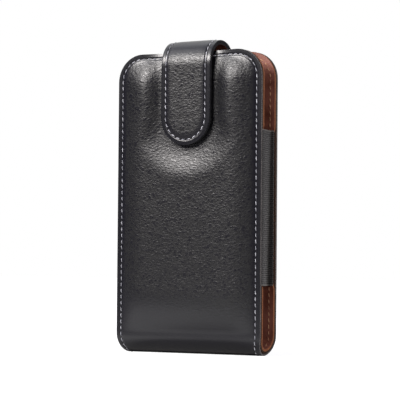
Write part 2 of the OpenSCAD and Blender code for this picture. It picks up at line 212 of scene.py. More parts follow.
def gridPiece(name, across, along):
    # A flat grid whose points carry their place as u (-1 to 1) and row number.
    clearSelection()
    bpy.ops.mesh.primitive_grid_add(x_subdivisions=across, y_subdivisions=along, size=2)
    piece = bpy.context.object
    piece.name = name
    piece.data.name = name
    flat = readPoints(piece)
    row = np.rint((flat[:, 1] + 1) / 2 * along).astype(int)
    return piece, flat[:, 0], row


def faceOut(piece, point, outward):
    # Turns the whole surface over if its face nearest to a point looks the wrong way.
    nearest = min(piece.data.polygons, key=lambda f: (f.center - Vector(point)).length)
    if nearest.normal.dot(Vector(outward)) < 0:
        editAll(piece)
        bpy.ops.mesh.flip_normals()
        bpy.ops.object.mode_set(mode="OBJECT")


def linear(hexColour):
    parts = [int(hexColour[i:i + 2], 16) / 255 for i in (1, 3, 5)]
    return [c / 12.92 if c <= 0.04045 else ((c + 0.055) / 1.055) ** 2.4 for c in parts] + [1.0]


def addNode(tree, kind, settings):
    # Settings in lower case are the node's own, and the rest are its input sockets. A socket takes a
    # value, another node's output, or a node, whose first output it then takes.
    made = tree.nodes.new("ShaderNode" + kind)
    for key, value in settings.items():
        if isinstance(key, str) and key[0].islower():
            setattr(made, key, value)
        elif isinstance(value, bpy.types.Node):
            tree.links.new(value.outputs[0], made.inputs[key])
        elif isinstance(value, bpy.types.NodeSocket):
            tree.links.new(value, made.inputs[key])
        else:
            made.inputs[key].default_value = value
    return made


def newMaterial(name):
    material = bpy.data.materials.new(name)
    material.use_nodes = True
    material.node_tree.nodes.clear()
    add = partial(addNode, material.node_tree)
    return material, add, add("TexCoord", {}).outputs["Object"]


# A map range's sockets are 0 value, 1 and 2 from, 3 and 4 to.
softly = {"interpolation_type": "SMOOTHSTEP"}


def pebbledLeather(name, look):
    # Chrome-tanned cowhide, pebbled by tumbling, with a thin clear finish: dark, half-glossy grains
    # with matt creases between them, pressed smooth beside the seams. The creases are also coloured
    # darker, as painted shade. Its pores of about 0.1 mm are drawn at 0.5 mm to show.
    material, add, place = newMaterial(name)
    broad = add("TexNoise", {"Vector": place, "Scale": 1 / look["broad"], "Detail": 2.0})
    shift = add("VectorMath", {"operation": "SCALE", 0: broad.outputs["Color"], "Scale": look["wander"]})
    moved = add("VectorMath", {"operation": "ADD", 0: place, 1: shift})
    turned = add("Mapping", {"Vector": moved, "Rotation": (0, math.radians(look["slant"]), 0),
                             "Scale": (1 / look["stretch"], 1, 1)})
    reach = add("TexVoronoi", {"Vector": turned, "Scale": 1 / look["grain"]}).outputs["Distance"]
    square = add("Math", {"operation": "MULTIPLY", 0: reach, 1: reach})
    dome = add("Math", {"operation": "SUBTRACT", 0: 1.0, 1: square})
    pebble = add("MapRange", {**softly, 0: reach, 1: 0.3, 2: 0.75, 3: 1.0, 4: 0.0})
    wrinkle = add("TexNoise", {"Vector": turned, "Scale": 1 / look["wrinkle"], "Detail": 3.0})
    centred = add("Math", {"operation": "SUBTRACT", 0: wrinkle, 1: 0.5})
    fold = add("Math", {"operation": "ABSOLUTE", 0: centred})
    crest = add("MapRange", {**softly, 0: fold, 1: 0.0, 2: 0.13})
    pores = add("TexNoise", {"Vector": place, "Scale": 1 / look["pore"], "Detail": 2.0})
    edge = add("Attribute", {"attribute_name": "edge"}).outputs["Fac"]
    calm = add("Attribute", {"attribute_name": "calm"}).outputs["Fac"]
    seamAt = look["seam"]
    inside = add("MapRange", {**softly, 0: edge, 1: seamAt + 0.2, 2: seamAt + 4.0, 3: 0.1, 4: 1.0})
    lively = add("Math", {"operation": "SUBTRACT", 0: 1.0, 1: calm})
    strength = add("Math", {"operation": "MULTIPLY", 0: inside, 1: lively})
    beside = add("Math", {"operation": "SUBTRACT", 0: edge, 1: seamAt})
    groove = add("Math", {"operation": "ABSOLUTE", 0: beside})
    grooveUp = add("MapRange", {**softly, 0: groove, 1: 0.25, 2: 1.2})
    height = add("Math", {"operation": "MULTIPLY_ADD", 0: crest, 1: look["crestHeight"], 2: dome})
    height = add("Math", {"operation": "MULTIPLY_ADD", 0: broad, 1: look["broadHeight"], 2: height})
    height = add("Math", {"operation": "MULTIPLY", 0: height, 1: strength})
    height = add("Math", {"operation": "MULTIPLY_ADD", 0: pores, 1: look["poreHeight"], 2: height})
    height = add("Math", {"operation": "MULTIPLY_ADD", 0: grooveUp, 1: look["grooveHeight"], 2: height})
    bump = add("Bump", {"Strength": 1.0, "Distance": look["relief"], "Height": height})
    raised = add("Math", {"operation": "MULTIPLY", 0: pebble, 1: crest})
    low = add("Math", {"operation": "SUBTRACT", 0: 1.0, 1: raised})
    low = add("Math", {"operation": "MULTIPLY", 0: low, 1: strength})
    # Painted shade: the creases between the pebbles and along the wrinkles are coloured darker than the face.
    creaseShaded = add("MixRGB", {0: low, 1: linear(look["face"]), 2: linear(look["creaseShade"])})
    outside = add("MapRange", {**softly, 0: edge, 1: seamAt - 0.2, 2: seamAt + 1.2, 3: 1.0, 4: 0.0})
    colour = add("MixRGB", {0: outside, 1: creaseShaded, 2: linear(look["margin"])})
    matt = look["roughness"] + look["matter"]
    rough = add("MapRange", {**softly, 0: low, 1: 0.0, 2: 1.0, 3: look["roughness"], 4: matt})
    shader = add("BsdfPrincipled", {"Base Color": colour, "Roughness": rough, "IOR": 1.48, "Normal": bump})
    add("OutputMaterial", {"Surface": shader})
    return material


def plainLeather(name, look):
    # Vegetable-dyed split leather: an even nap, a little darker in its pores, with low sheen. The nap's
    # fibres of about 0.1 mm are drawn at 0.5 mm to show.
    material, add, place = newMaterial(name)
    cloud = add("TexNoise", {"Vector": place, "Scale": 1 / 0.012, "Detail": 4.0})
    nap = add("TexNoise", {"Vector": place, "Scale": 1 / 0.0005, "Detail": 3.0})
    reach = add("TexVoronoi", {"Vector": place, "Scale": 1 / 0.0009}).outputs["Distance"]
    pit = add("MapRange", {**softly, 0: reach, 1: 0.0, 2: 0.4})
    height = add("Math", {"operation": "MULTIPLY_ADD", 0: pit, 1: 0.8, 2: nap})
    bump = add("Bump", {"Strength": 0.7, "Distance": 0.00012, "Height": height})
    patch = add("MapRange", {**softly, 0: cloud, 1: 0.3, 2: 0.7})
    colour = add("MixRGB", {0: patch, 1: linear(look["dark"]), 2: linear(look["light"])})
    pore = add("MapRange", {**softly, 0: reach, 1: 0.0, 2: 0.35, 3: 0.35, 4: 0.0})
    colour = add("MixRGB", {0: pore, 1: colour, 2: linear(look["pore"])})
    shader = add("BsdfPrincipled", {"Base Color": colour, "Roughness": look["roughness"], "IOR": 1.46,
                                    "Specular IOR Level": 0.4, "Normal": bump})
    add("OutputMaterial", {"Surface": shader})
    return material


def cutEdge(name, look):
    # Leather cut with a knife: pale open fibres along the edge, 0.1 mm thick and drawn at 0.5 mm to show.
    material, add, place = newMaterial(name)
    fibre = add("TexNoise", {"Vector": place, "Scale": 1 / 0.0005, "Detail": 4.0})
    drift = add("TexNoise", {"Vector": place, "Scale": 1 / 0.009, "Detail": 2.0})
    bump = add("Bump", {"Strength": 0.8, "Distance": 0.00015, "Height": fibre})
    pale = add("MapRange", {**softly, 0: fibre, 1: 0.35, 2: 0.65})
    colour = add("MixRGB", {0: pale, 1: linear(look["dark"]), 2: linear(look["light"])})
    worn = add("MapRange", {**softly, 0: drift, 1: 0.45, 2: 0.7, 3: 0.0, 4: 0.5})
    colour = add("MixRGB", {0: worn, 1: colour, 2: linear(look["dark"])})
    shader = add("BsdfPrincipled", {"Base Color": colour, "Roughness": 0.85, "IOR": 1.45,
                                    "Specular IOR Level": 0.25, "Normal": bump})
    add("OutputMaterial", {"Surface": shader})
    return material


def ribbedElastic(name, look):
    # Woven elastic: rubber cores lie across, so covered ribs run level, and the yarn is dull. The yarn's
    # pitch of about 0.5 mm is drawn at 0.9 mm to show.
    material, add, place = newMaterial(name)
    parts = add("SeparateXYZ", {0: place}).outputs
    turn = add("Math", {"operation": "MULTIPLY", 0: parts[2], 1: 2 * math.pi / look["ribPitch"]})
    rib = add("Math", {"operation": "SINE", 0: turn})
    across = add("Math", {"operation": "MULTIPLY_ADD", 0: parts[0], 1: 0.7, 2: parts[1]})
    turn = add("Math", {"operation": "MULTIPLY", 0: across, 1: 2 * math.pi / look["yarnPitch"]})
    yarn = add("Math", {"operation": "SINE", 0: turn})
    fluff = add("TexNoise", {"Vector": place, "Scale": 1 / 0.0004, "Detail": 3.0})
    height = add("Math", {"operation": "MULTIPLY_ADD", 0: yarn, 1: 0.35, 2: rib})
    height = add("Math", {"operation": "MULTIPLY_ADD", 0: fluff, 1: 0.8, 2: height})
    bump = add("Bump", {"Strength": 0.9, "Distance": 0.00018, "Height": height})
    # Painted shade and highlight: the rib crests are coloured lighter and the hollows between them darker.
    high = add("MapRange", {**softly, 0: rib, 1: -0.8, 2: 0.9})
    colour = add("MixRGB", {0: high, 1: linear(look["dark"]), 2: linear(look["light"])})
    edge = add("Attribute", {"attribute_name": "edge"}).outputs["Fac"]
    selvedge = add("MapRange", {**softly, 0: edge, 1: 0.4, 2: 1.0, 3: 0.75, 4: 0.0})
    colour = add("MixRGB", {0: selvedge, 1: colour, 2: linear(look["selvedge"])})
    shader = add("BsdfPrincipled", {
        "Base Color": colour, "Roughness": 0.88, "IOR": 1.45, "Specular IOR Level": 0.25, "Sheen Weight": 0.25,
        "Sheen Roughness": 0.5, "Normal": bump})
    add("OutputMaterial", {"Surface": shader})
    return material


def sewingThread(name, look):
    # Bonded polyester thread, twisted: small slanting ridges and a soft gloss.
    material, add, place = newMaterial(name)
    parts = add("SeparateXYZ", {0: place}).outputs
    level = add("Math", {"operation": "ADD", 0: parts[0], 1: parts[1]})
    slant = add("Math", {"operation": "MULTIPLY_ADD", 0: parts[2], 1: 1.3, 2: level})
    turn = add("Math", {"operation": "MULTIPLY", 0: slant, 1: 2 * math.pi / 0.0005})
    twist = add("Math", {"operation": "SINE", 0: turn})
    drift = add("TexNoise", {"Vector": place, "Scale": 1 / 0.006, "Detail": 2.0})
    pale = add("MapRange", {**softly, 0: drift, 1: 0.35, 2: 0.65})
    colour = add("MixRGB", {0: pale, 1: linear(look["dark"]), 2: linear(look["light"])})
    bump = add("Bump", {"Strength": 0.6, "Distance": 0.00008, "Height": twist})
    shader = add("BsdfPrincipled", {"Base Color": colour, "Roughness": 0.55, "IOR": 1.5,
                                    "Specular IOR Level": 0.4, "Normal": bump})
    add("OutputMaterial", {"Surface": shader})
    return material


def mouldedPlastic(name, look):
    # Injection-moulded nylon: spark-eroded matt texture of about 0.15 mm, drawn at 0.3 mm to show.
    material, add, place = newMaterial(name)
    spark = add("TexNoise", {"Vector": place, "Scale": 1 / 0.0003, "Detail": 2.0})
    rub = add("TexNoise", {"Vector": place, "Scale": 1 / 0.008, "Detail": 3.0})
    bump = add("Bump", {"Strength": 0.5, "Distance": 0.00005, "Height": spark})
    rubbed = add("MapRange", {**softly, 0: rub, 1: 0.35, 2: 0.7})
    colour = add("MixRGB", {0: rubbed, 1: linear(look["dark"]), 2: linear(look["light"])})
    rough = add("MapRange", {**softly, 0: rub, 1: 0.3, 2: 0.7, 3: look["rough"], 4: look["smooth"]})
    shader = add("BsdfPrincipled", {"Base Color": colour, "Roughness": rough, "IOR": 1.53, "Normal": bump})
    add("OutputMaterial", {"Surface": shader})
    return material


def steel(name, look):
    # Nickel-plated steel, tumbled: random scratches over a pale warm grey metal, a few hundredths of a
    # millimetre wide and drawn at 0.4 mm to show.
    material, add, place = newMaterial(name)
    stretched = add("Mapping", {"Vector": place, "Scale": (1, 1, 0.15)})
    scratch = add("TexNoise", {"Vector": stretched, "Scale": 1 / 0.0004, "Detail": 3.0})
    bump = add("Bump", {"Strength": 0.2, "Distance": 0.00003, "Height": scratch})
    colour = add("MixRGB", {0: scratch, 1: linear(look["dark"]), 2: linear(look["light"])})
    rough = add("MapRange", {**softly, 0: scratch, 1: 0.3, 2: 0.7, 3: look["smooth"], 4: look["rough"]})
    shader = add("BsdfPrincipled", {"Base Color": colour, "Metallic": 1.0, "Roughness": rough, "Normal": bump})
    add("OutputMaterial", {"Surface": shader})
    return material


def boardOrFoam(name, look):
    # Open material that only shows at a cut: foam cells, or the fibres of salpa board, which are about
    # 0.2 mm and drawn at 0.6 mm to show.
    material, add, place = newMaterial(name)
    reach = add("TexVoronoi", {"Vector": place, "Scale": 1 / look["cell"]}).outputs["Distance"]
    bump = add("Bump", {"Strength": 0.6, "Distance": 0.0001, "Height": reach})
    # Painted shade: the hollows of the cells are coloured darker than their walls.
    wall = add("MapRange", {**softly, 0: reach, 1: 0.1, 2: 0.6})
    colour = add("MixRGB", {0: wall, 1: linear(look["dark"]), 2: linear(look["light"])})
    shader = add("BsdfPrincipled", {"Base Color": colour, "Roughness": 0.95, "IOR": 1.45,
                                    "Specular IOR Level": 0.2, "Normal": bump})
    add("OutputMaterial", {"Surface": shader})
    return material


# Lengths of the patterns in metres, and the seam's distance from the edge in millimetres.
# The crease colour is painted shade, darker than the face.
bodyGrain = {
    "grain": 0.00098, "wrinkle": 0.0019, "stretch": 1.7, "slant": 8, "wander": 0.0016, "broad": 0.006,
    "pore": 0.0005, "relief": 0.000092, "crestHeight": 0.35, "broadHeight": 1.6, "poreHeight": 0.1,
    "grooveHeight": 2.0, "seam": 2.8, "face": "#0d0c13", "creaseShade": "#060607", "margin": "#0a0a10",
    "roughness": 0.29, "matter": 0.14,
}
strapGrain = dict(bodyGrain, slant=-38, seam=2.9)
splitHide = {"dark": "#603426", "light": "#855345", "pore": "#432218", "roughness": 0.45}
# The elastic's dark and light colours are the painted shade between its ribs and the painted highlight on them.
webbing = {"ribPitch": 0.0011, "yarnPitch": 0.0009, "dark": "#141312", "light": "#2d2b2a", "selvedge": "#5f5a55"}
nylon = {"dark": "#141416", "light": "#1d1d20", "rough": 0.55, "smooth": 0.45}
plating = {"dark": "#b8b5ae", "light": "#d6d3cc", "smooth": 0.28, "rough": 0.40}
blackLeather = pebbledLeather("pebbledCowhideBlack", bodyGrain)
strapBlackLeather = pebbledLeather("pebbledCowhideStrap", strapGrain)
blackCutEdge = cutEdge("cutCowhideGrey", {"dark": "#2c2a2b", "light": "#777372"})
strapCutEdge = cutEdge("dyedCowhideEdge", {"dark": "#0c0c0e", "light": "#1f1f23"})
brownLining = plainLeather("splitLeatherChestnut", splitHide)
brownCutEdge = cutEdge("cutSplitTan", {"dark": "#6d4029", "light": "#9a6545"})
elasticCloth = ribbedElastic("wovenElasticBlack", webbing)
greyThread = sewingThread("bondedThreadGrey", {"dark": "#85868f", "light": "#c0c1c8"})
tanThread = sewingThread("bondedThreadTan", {"dark": "#8a5f45", "light": "#b48a68"})
blackPlastic = mouldedPlastic("mouldedNylonBlack", nylon)
platedSteel = steel("platedSteel", plating)
springSteel = steel("springSteel", {"dark": "#8f8d88", "light": "#b9b6b0", "smooth": 0.3, "rough": 0.42})
magnetNickel = steel("nickelMagnet", {"dark": "#c9c7c2", "light": "#dddbd6", "smooth": 0.2, "rough": 0.32})
# Board and foam take their dark colour in the hollows of their cells, as painted shade.
coreBoard = boardOrFoam("salpaBoard", {"cell": 0.0006, "dark": "#1f1611", "light": "#3a2a20"})
padFoam = boardOrFoam("polyetherFoam", {"cell": 0.0008, "dark": "#b3ac9c", "light": "#d8d2c4"})
print("materials made")


elastic = {
    "low": 37.5, "high": 121.5, "thick": 1.0, "tuckLow": 4.2, "tuckHigh": 2.4, "along": 84, "across": 24,
    "seamClear": 0.05, "lip": 0.6, "slant": 0.25, "flapClear": 0.02, "cut": 0.22, "cutPasses": 3, "round": 0.3,
}
sheetShape = {
    "crowding": 1.35, "sewnFade": 1.0, "calmHeight": 36.0, "calmTilt": 0.16, "calmFade": 20.0, "calm": 0.85,
}
shoulders = {
    "across": 25.0, "width": 9.0, "height": 26.0, "length": 15.0, "depth": 0.6,
    "tipWidth": 17.0, "tipDrop": 13.0, "tipLength": 7.0, "tipDepth": 0.2,
    "strapStart": 1.0, "strapSlope": 7.0, "seamStart": 3.4, "seamSlope": 8.0,
}
# A point on the front and the way out of it, by which a surface is turned the right way round.
frontPoint = (0, front * mm, -0.05)
forward = (0, -1, 0)


def pouchRows(settings):
    # Stations from the front's top edge, under the fold, to the back's top edge: wall, value.
    turn = np.linspace(90, 0, settings["cornerRows"] + 1)
    heights = list(cornerZ + pouch["cornerRadius"] * np.sin(np.radians(turn)))
    heights += list(np.linspace(cornerZ, foldZ, settings["wallRows"] + 1)[1:])
    rows = [("front", z) for z in heights]
    rows += [("fold", a) for a in np.linspace(0, math.pi, settings["foldRows"] + 1)[1:-1]]
    rows += [("back", z) for z in reversed(heights)]
    return rows


def sewnShare(z):
    # 1 beside the elastic, fading over its two ends.
    fade = sheetShape["sewnFade"]
    above = softStep((z - bottom - elastic["low"] + fade) / (2 * fade))
    return above * softStep((bottom + elastic["high"] - z + fade) / (2 * fade))


def shoulderRise(x, z):
    # Low swellings beside the strap and under its tip, where it doesn't hold the pad down.
    free = 1 - strapShade(x, z, shoulders["strapStart"], shoulders["strapSlope"])
    beside = (np.exp(-((np.abs(x) - shoulders["across"]) / shoulders["width"]) ** 2)
              * np.exp(-((z - shoulders["height"]) / shoulders["length"]) ** 2))
    under = (np.exp(-(x / shoulders["tipWidth"]) ** 2)
             * np.exp(-((z - tipZ + shoulders["tipDrop"]) / shoulders["tipLength"]) ** 2))
    inside = softStep((edgeDistance(x, z) - shoulders["seamStart"]) / shoulders["seamSlope"])
    return (shoulders["depth"] * beside + shoulders["tipDepth"] * under) * free * inside


def foldedSheet(name, depth, thickness, settings, faceMaterial, edgeMaterial):
    # A sheet down the front, under the fold and up the back, at a depth below the pouch's skin.
    rows = pouchRows(settings)
    piece, u, row = gridPiece(name, settings["across"], len(rows) - 1)
    # Columns crowd towards the edges, where the seams are.
    spread = np.sign(u) * (1 - (1 - np.abs(u)) ** sheetShape["crowding"])
    wall = np.array([r[0] for r in rows])[row]
    value = np.array([r[1] for r in rows])[row]
    onFront, onFold, onBack = wall == "front", wall == "fold", wall == "back"
    angle = np.where(onFold, value, 0)
    r = foldRadius - depth
    y = np.where(onFront, front + depth, np.where(onFold, foldY - r * np.cos(angle), rear - depth))
    z = np.where(onFold, foldZ - r * np.sin(angle), value)
    # The lining stops short of the seam where the elastic is sewn in.
    short = np.where(onFront, settings["sewnFront"], np.where(onBack, settings["sewnBack"], 0)) * sewnShare(z)
    x = (halfWidth(z) - short) * spread
    pull = pulled(x, z)
    y = y + np.where(onFront, frontPull * pull, 0) - np.where(onBack, rearPull * pull, 0)
    if settings["puffed"]:
        y = y - np.where(onFront, hump(x, z) + shoulderRise(x, z), 0)
    writePoints(piece, np.stack([x, y, z], 1) * mm)
    faceOut(piece, frontPoint, forward)
    makeLeather(piece, thickness, settings["round"], faceMaterial, edgeMaterial)
    points = readPoints(piece) / mm
    setAttribute(piece, "edge", edgeDistance(points[:, 0], points[:, 2]))
    # The pebbles die out towards the bottom fold, sooner on the left.
    over = points[:, 2] - bottom + sheetShape["calmTilt"] * points[:, 0]
    calm = sheetShape["calm"] * softStep((sheetShape["calmHeight"] - over) / sheetShape["calmFade"])
    setAttribute(piece, "calm", calm)
    smooth(piece)
    return piece


shellSettings = {"across": 96, "cornerRows": 18, "wallRows": 96, "foldRows": 20, "puffed": True, "round": 0.35,
                 "sewnFront": 0, "sewnBack": 0}
outerLeather = foldedSheet("outerLeather", 0, pouch["leather"], shellSettings, blackLeather, blackCutEdge)
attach(outerLeather, "pouch")
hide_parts("outer_shell")
print("outer leather made", len(outerLeather.data.polygons))

liningSettings = {"across": 60, "cornerRows": 14, "wallRows": 90, "foldRows": 20, "puffed": False, "round": 0.3,
                  "sewnFront": 1.05, "sewnBack": 0.7}
innerLining = foldedSheet("innerLining", pouch["leather"] + pouch["core"], pouch["lining"], liningSettings,
                          brownLining, brownCutEdge)
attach(innerLining, "pouch")
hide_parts("lining_shell")
print("lining made", len(innerLining.data.polygons))


padSettings = {"across": 40, "along": 60, "inset": 5.8, "cornerInset": 0.8, "frontClear": 0.05, "backClear": 0.02}


def makePad(settings):
    piece, u, row = gridPiece("frontPad", settings["across"], settings["along"])
    inset = settings["inset"]
    z = skinZ + inset + (top - 2 * inset - skinZ) * row / settings["along"]
    x = (halfWidth(z + inset * settings["cornerInset"]) - inset) * u
    y = front + pouch["leather"] + frontPull * pulled(x, z) - hump(x, z) + settings["frontClear"]
    writePoints(piece, np.stack([x, y, z], 1) * mm)
    faceOut(piece, frontPoint, forward)
    editAll(piece)
    bpy.ops.mesh.extrude_region_move(TRANSFORM_OT_translate={"value": (0, 0.1 * mm, 0)})
    bpy.ops.object.mode_set(mode="OBJECT")
    # The extruded back lies flat on the core.
    points = readPoints(piece)
    back = np.array([v.select for v in piece.data.vertices])
    flat = front + pouch["leather"] + frontPull * pulled(points[:, 0] / mm, points[:, 2] / mm)
    points[:, 1] = np.where(back, (flat + settings["backClear"]) * mm, points[:, 1])
    writePoints(piece, points)
    editAll(piece)
    bpy.ops.mesh.normals_make_consistent(inside=False)
    bpy.ops.object.mode_set(mode="OBJECT")
    piece.data.materials.append(padFoam)
    smooth(piece)
    return piece


frontPad = makePad(padSettings)
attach(frontPad, "pouch")
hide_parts("front_pad")
print("pad made")


innerDepth = pouch["leather"] + pouch["core"] + pouch["lining"]


def elasticPath(tuck):
    # Middle of the elastic in X and Y: seam leg, folded web, flap on the back lining.
    flapY = rear - innerDepth - elastic["thick"] / 2
    lipY = front + innerDepth + elastic["lip"]
    mid = half - elastic["thick"] / 2
    corners = [(mid, front + pouch["leather"] + elastic["seamClear"]), (mid, lipY),
               (half - tuck - elastic["slant"], flapY), (half - elastic["flapClear"], flapY)]
    near, far = 1 - elastic["cut"], elastic["cut"]
    for _ in range(elastic["cutPasses"]):
        cut = [corners[0]]
        for a, b in zip(corners, corners[1:]):
            cut.append((a[0] * near + b[0] * far, a[1] * near + b[1] * far))
            cut.append((a[0] * far + b[0] * near, a[1] * far + b[1] * near))
        corners = cut + [corners[-1]]
    return np.array(corners)


def pathSteps(points):
    # Distance along a path at each of its points.
    return np.concatenate([[0], np.cumsum(np.linalg.norm(np.diff(points, axis=0), axis=1))])


def makeElastic(name, side, settings):
    piece, u, row = gridPiece(name, settings["along"], settings["across"])
    share = (u + 1) / 2
    low, high = bottom + settings["low"], bottom + settings["high"]
    z = low + (high - low) * share
    tuck = settings["tuckLow"] + (settings["tuckHigh"] - settings["tuckLow"]) * share
    x = np.empty(len(u))
    y = np.empty(len(u))
    for i in range(len(u)):
        path = elasticPath(tuck[i])
        steps = pathSteps(path)
        at = steps[-1] * row[i] / settings["across"]
        x[i] = np.interp(at, steps, path[:, 0])
        y[i] = np.interp(at, steps, path[:, 1])
    writePoints(piece, np.stack([side * x, y, z], 1) * mm)
    faceOut(piece, (side * half * mm, foldY * mm, -0.03), (side, 0, 0))
    piece.data.materials.append(elasticCloth)
    applyModifier(piece, "SOLIDIFY", {"thickness": settings["thick"] * mm, "offset": 0.0, "use_even_offset": True})
    roundEdges(piece, settings["round"], 60)
    points = readPoints(piece) / mm
    setAttribute(piece, "edge", np.minimum(points[:, 2] - low, high - points[:, 2]))
    smooth(piece)
    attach(piece, "pouch")
    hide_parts("elastic_right" if side > 0 else "elastic_left")


makeElastic("rightElastic", 1, elastic)
makeElastic("leftElastic", -1, elastic)
print("elastic made")


strapSettings = {
    "across": 30, "endRows": 14, "midRows": 130, "endClear": 0.03, "round": 0.35, "crownSlope": 7.0,
    "frontSteps": 60, "frontArchSteps": 40, "rearArchSteps": 30, "rootSteps": 80, "gapFade": 6.0,
    "sight": 0.6, "edgeSteps": 900, "liningTrim": 0.25,
    "calm": 0.85, "calmStart": 4.0, "calmFade": 5.0, "rootStart": 8.0, "rootFade": 6.0,
}


def strapPath(settings):
    # Outer face of the strap in Y and Z, from the tip in front to the sewn end behind.
    points = [(strapOuter, z) for z in np.linspace(tipZ, frontArchZ, settings["frontSteps"])]
    points += [(archY - frontReach * math.cos(t), frontArchZ + strap["frontBend"] * math.sin(t))
               for t in np.linspace(0, math.pi / 2, settings["frontArchSteps"])[1:]]
    points += [(archY + rearReach * math.sin(t), rearArchZ + strap["rearBend"] * math.cos(t))
               for t in np.linspace(0, math.pi / 2, settings["rearArchSteps"])[1:]]
    # Behind, it comes down on to the back panel.
    points += [(rear + strapThick + strap["gap"] * (1 - float(softStep((hingeZ - z) / settings["gapFade"]))), z)
               for z in np.linspace(hingeZ, rootZ, settings["rootSteps"])[1:]]
    points = np.array(points)
    return points, pathSteps(points)


strapPoints, strapSteps = strapPath(strapSettings)
strapLength = strapSteps[-1]


def strapPlace(s, depth):
    # A point at a distance along the strap and a depth below its black face, and the way out of it.
    y = np.interp(s, strapSteps, strapPoints[:, 0])
    z = np.interp(s, strapSteps, strapPoints[:, 1])
    ahead = np.minimum(s + strapSettings["sight"], strapLength)
    behind = np.maximum(s - strapSettings["sight"], 0)
    dy = np.interp(ahead, strapSteps, strapPoints[:, 0]) - np.interp(behind, strapSteps, strapPoints[:, 0])
    dz = np.interp(ahead, strapSteps, strapPoints[:, 1]) - np.interp(behind, strapSteps, strapPoints[:, 1])
    size = np.hypot(dy, dz)
    outY, outZ = -dz / size, dy / size
    return y - outY * depth, z - outZ * depth, outY, outZ


def strapHalf(s):
    # Half the strap's width, with both ends round.
    r = tipRadius
    near = np.minimum(s, strapLength - s)
    return np.where(near < r, np.sqrt(np.maximum(r * r - (r - near) ** 2, 0)), r)


def strapEdge(x, s):
    # How far a point of the strap lies inside its edge.
    r = tipRadius
    near = np.minimum(s, strapLength - s)
    return np.where(near < r, r - np.hypot(x, r - near), r - np.abs(x))


def strapCrown(x, s):
    # The black face stands up a little between its seams.
    return strap["crown"] * softStep(strapEdge(x, s) / strapSettings["crownSlope"])


def makeStrapLayer(name, depth, thickness, crown, trim, faceMaterial, edgeMaterial):
    settings = strapSettings
    turn = np.linspace(0, math.pi / 2, settings["endRows"] + 1)
    start = tipRadius * (1 - np.cos(turn))
    middle = np.linspace(tipRadius, strapLength - tipRadius, settings["midRows"] + 1)[1:-1]
    stations = np.concatenate([start, middle, strapLength - start[::-1]])
    stations = np.clip(stations, settings["endClear"], strapLength - settings["endClear"])
    piece, u, row = gridPiece(name, settings["across"], len(stations) - 1)
    s = stations[row]
    x = (strapHalf(s) - trim) * u
    y, z, outY, outZ = strapPlace(s, depth)
    raised = strapCrown(x, s) if crown else 0
    writePoints(piece, np.stack([x, y + outY * raised, z + outZ * raised], 1) * mm)
    faceOut(piece, (0, strapOuter * mm, 0.02), forward)
    makeLeather(piece, thickness, settings["round"], faceMaterial, edgeMaterial)
    points = readPoints(piece) / mm
    # Nearest station of each point, for the distance to the strap's edge.
    fine = np.linspace(0, strapLength, settings["edgeSteps"])
    fineY, fineZ, _, _ = strapPlace(fine, depth + thickness / 2)
    nearest = np.array([np.argmin((fineY - p[1]) ** 2 + (fineZ - p[2]) ** 2) for p in points])
    along = fine[nearest]
    setAttribute(piece, "edge", strapEdge(points[:, 0], along))
    # Over the arch the leather is stretched smooth.
    archStart = strap["drop"] - strap["frontBend"] + strap["rise"]
    onArch = softStep((along - archStart - settings["calmStart"]) / settings["calmFade"])
    overRoot = softStep((strapLength - strap["root"] - along + settings["rootStart"]) / settings["rootFade"])
    setAttribute(piece, "calm", settings["calm"] * onArch * overRoot)
    smooth(piece)
    return piece


bend = {"below": 3.9, "forward": 4.8, "up": 6.4, "splitZ": 38.0}


def keepFaces(piece, inFront, angle):
    # Keeps the end that hangs in front, or all the rest, and closes the cut.
    choose(piece)
    bpy.ops.object.mode_set(mode="EDIT")
    bpy.ops.mesh.select_mode(type="FACE")
    bpy.ops.mesh.select_all(action="DESELECT")
    bpy.ops.object.mode_set(mode="OBJECT")
    for face in piece.data.polygons:
        hanging = face.center.y < archY * mm and face.center.z < bend["splitZ"] * mm
        face.select = hanging != inFront
    bpy.ops.object.mode_set(mode="EDIT")
    bpy.ops.mesh.delete(type="FACE")
    bpy.ops.mesh.select_all(action="SELECT")
    bpy.ops.mesh.fill_holes(sides=0)
    bpy.ops.object.mode_set(mode="OBJECT")
    smooth(piece, angle)


def bendWithStrap(piece, endName, angle=40):
    # The straight end that hangs in front is cut off as a piece of its own that turns with the strap;
    # the bend and the rest stay where they are made.
    end = piece.copy()
    end.data = piece.data.copy()
    end.name = endName
    end.data.name = endName
    bpy.context.scene.collection.objects.link(end)
    keepFaces(end, True, angle)
    keepFaces(piece, False, angle)
    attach(end, "strap")
    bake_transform(piece)


strapLeather = makeStrapLayer("strapLeather", 0, strap["leather"], True, 0, strapBlackLeather, strapCutEdge)
strapLining = makeStrapLayer("strapLining", strap["leather"], strap["lining"], False, strapSettings["liningTrim"],
                             brownLining, strapCutEdge)
bendWithStrap(strapLeather, "strapLeatherEnd")
bendWithStrap(strapLining, "strapLiningEnd")
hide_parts("strap_leather", "strap_root_leather")
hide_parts("strap_lining", "strap_root_lining")
print("strap made")


stitch = {
    "length": 2.4, "width": 0.5, "height": 0.42, "pitch": 3.4, "slant": 7,
    "sides": 8, "rings": 7, "taper": 0.8, "sink": 0.22, "raise": 0.1, "sight": 0.5,
}
seam = {"sideSteps": 80, "cornerSteps": 14, "topSteps": 40, "foldSteps": 12, "foldShare": 0.98}
strapSeam = {"margin": 2.9, "sideSteps": 160, "endSteps": 30}


